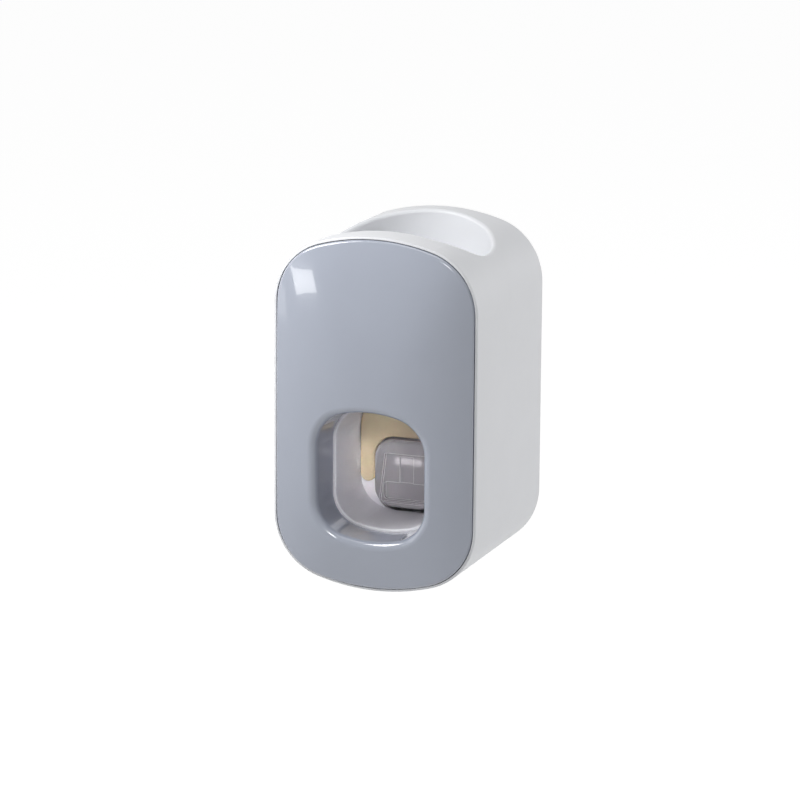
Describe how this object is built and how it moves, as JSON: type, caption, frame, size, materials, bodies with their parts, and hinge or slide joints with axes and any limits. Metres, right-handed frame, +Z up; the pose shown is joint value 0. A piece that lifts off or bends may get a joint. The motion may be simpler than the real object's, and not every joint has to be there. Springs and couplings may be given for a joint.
{
  "type": "toothpaste dispenser",
  "caption": "Wall-hung toothpaste dispenser: a rounded white shell with a tube well in its arched top and a grey front panel, whose window holds a paddle that works a squeeze pump.",
  "frame": {"origin": "middle of the adhesive pad's wall face", "axes": "+Z up, +Y into the wall, front panel faces -Y, +X to the right seen from the front"},
  "size_m": [0.06, 0.0609, 0.1],
  "materials": {
    "shell_white": "satin white moulding with a fine grain",
    "panel_grey": "polished blue-grey moulding",
    "frame_milky": "milky translucent moulding",
    "lever_clear": "smoky clear moulding",
    "guard_amber": "amber moulding",
    "inner_white": "plain white moulding",
    "funnel_white": "smooth white moulding",
    "foot_white": "plain white moulding",
    "silicone": "milky silicone",
    "pad_foam": "white foam tape",
    "steel": "plain bright steel"
  },
  "bodies": {
    "wall_mount": {"adhesive_pad": "pad_foam", "wall_bracket": "inner_white"},
    "housing": {"outer_shell": "shell_white", "rear_cover": "inner_white", "rear_screws": "steel", "core_frame": "frame_milky", "core_screws": "steel", "splash_guard": "guard_amber", "guard_screws": "steel", "pivot_pin": "steel", "pin_clips": "steel", "return_spring": "steel", "pump_chamber": "silicone", "inlet_collar": "foot_white", "inlet_valve": "silicone", "outlet_valve": "silicone", "socket_seal": "silicone", "tube_funnel": "funnel_white", "funnel_screws": "steel"},
    "lever": {"push_lever": "lever_clear", "presser_foot": "foot_white"},
    "front_panel": {"front_panel": "panel_grey"}
  },
  "joints": [
    {"name": "lift_off", "type": "slide", "parent": "wall_mount", "child": "housing", "axis": [0, 0, 1], "range_m": [0, 0.01]},
    {"name": "panel_pull", "type": "slide", "parent": "housing", "child": "front_panel", "axis": [0, -1, 0], "range_m": [0, 0.03]},
    {"name": "lever_push", "type": "hinge", "parent": "housing", "child": "lever", "pos_m": [0, -0.0224, -0.0045], "axis": [1, 0, 0], "range_deg": [0, 18], "stiffness_Nm_per_rad": 0.12, "springref_deg": -8.59, "deforming": ["pump_chamber", "return_spring"]}
  ]
}
